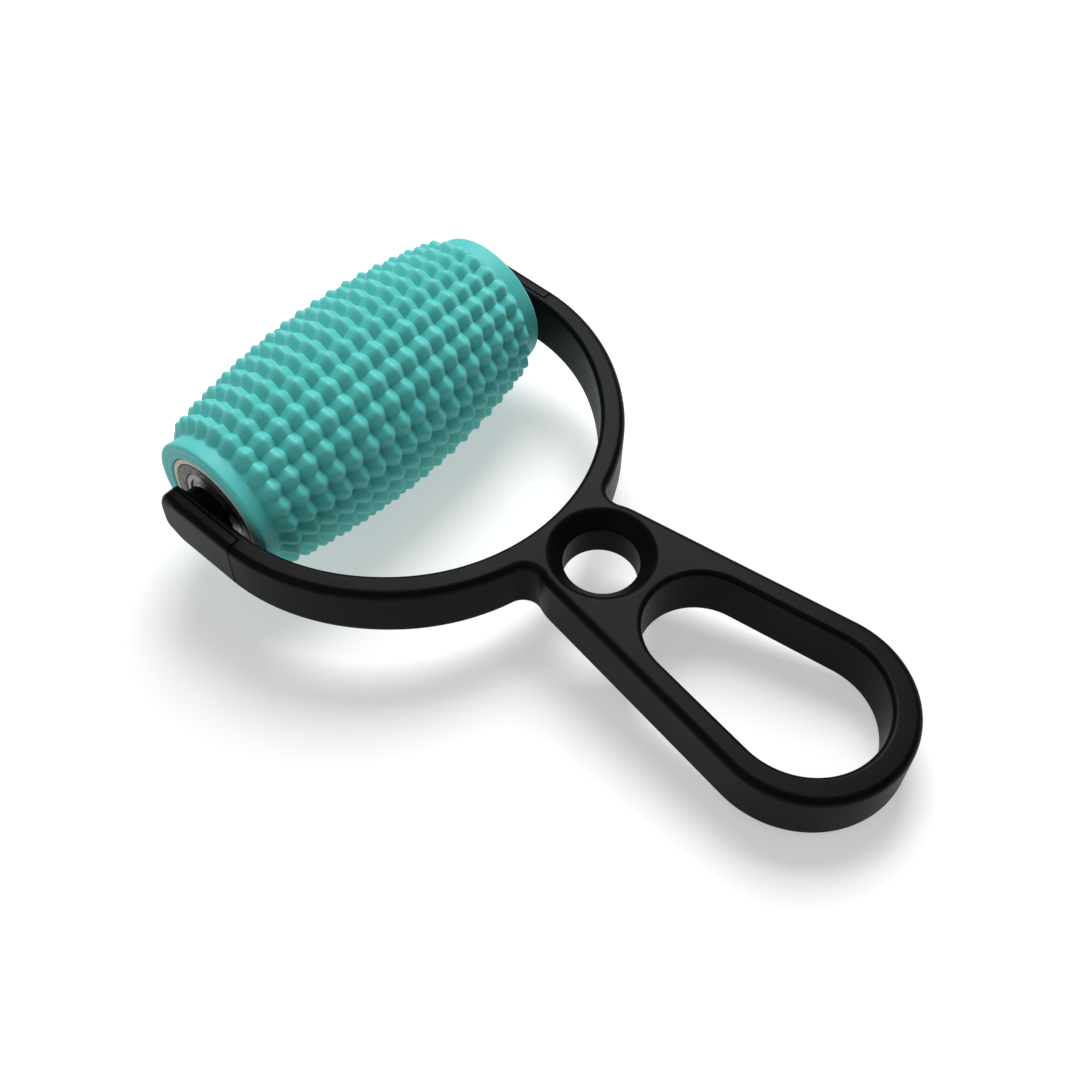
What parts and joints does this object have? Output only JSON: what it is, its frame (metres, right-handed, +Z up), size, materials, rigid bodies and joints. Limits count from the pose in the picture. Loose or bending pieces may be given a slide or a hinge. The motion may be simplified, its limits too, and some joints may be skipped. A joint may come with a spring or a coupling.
{
  "type": "foot massage roller",
  "caption": "Hand-held foot massage roller: a flat handle with a finger hole and a hand loop, and a fork whose axle carries a soft bumpy barrel on ball bearings.",
  "frame": {"origin": "under the middle of the object's box, on the plane it rests on", "axes": "+X along the axle to the right of someone holding the handle, +Y from the handle to the roller, +Z up"},
  "size_m": [0.1258, 0.2082, 0.0587],
  "materials": {
    "frame_plastic": "satin black moulded plastic",
    "cover_plastic": "satin black moulded plastic",
    "sleeve_rubber": "soft matt teal elastomer",
    "tube_plastic": "cream pipe plastic with a cut end",
    "seat_plastic": "dark grey filled plastic",
    "ring_steel": "ground bearing steel",
    "shield_steel": "bright pressed sheet steel",
    "ball_steel": "polished balls",
    "axle_steel": "turned steel",
    "zinc_steel": "zinc plated"
  },
  "bodies": {
    "handle": {"handle_frame": "frame_plastic", "left_arm_cover": "cover_plastic", "right_arm_cover": "cover_plastic", "axle": "axle_steel", "left_axle_screw": "zinc_steel", "left_axle_washer": "zinc_steel", "left_spacer": "zinc_steel", "left_bearing_inner_ring": "ring_steel", "right_axle_screw": "zinc_steel", "right_axle_washer": "zinc_steel", "right_spacer": "zinc_steel", "right_bearing_inner_ring": "ring_steel"},
    "roller": {"roller_sleeve": "sleeve_rubber", "core_tube": "tube_plastic", "left_bearing_seat": "seat_plastic", "left_bearing_outer_ring": "ring_steel", "left_bearing_outer_shield": "shield_steel", "left_bearing_inner_shield": "shield_steel", "right_bearing_seat": "seat_plastic", "right_bearing_outer_ring": "ring_steel", "right_bearing_outer_shield": "shield_steel", "right_bearing_inner_shield": "shield_steel"},
    "left_cage": {"left_bearing_cage": "ring_steel", "left_ball_1": "ball_steel", "left_ball_2": "ball_steel", "left_ball_3": "ball_steel", "left_ball_4": "ball_steel", "left_ball_5": "ball_steel", "left_ball_6": "ball_steel", "left_ball_7": "ball_steel"},
    "right_cage": {"right_bearing_cage": "ring_steel", "right_ball_1": "ball_steel", "right_ball_2": "ball_steel", "right_ball_3": "ball_steel", "right_ball_4": "ball_steel", "right_ball_5": "ball_steel", "right_ball_6": "ball_steel", "right_ball_7": "ball_steel"}
  },
  "joints": [
    {"name": "roller_spin", "type": "hinge", "parent": "handle", "child": "roller", "pos_m": [0, 0.07481, 0.02937], "axis": [1, 0, 0], "continuous": true},
    {"name": "left_cage_spin", "type": "hinge", "parent": "handle", "child": "left_cage", "pos_m": [-0.0494, 0.07481, 0.02937], "axis": [1, 0, 0], "continuous": true},
    {"name": "right_cage_spin", "type": "hinge", "parent": "handle", "child": "right_cage", "pos_m": [0.0494, 0.07481, 0.02937], "axis": [1, 0, 0], "continuous": true}
  ],
  "couplings": [
    {"joint": "left_cage_spin", "follows": "roller_spin", "ratio": 0.63026},
    {"joint": "right_cage_spin", "follows": "roller_spin", "ratio": 0.63026}
  ]
}
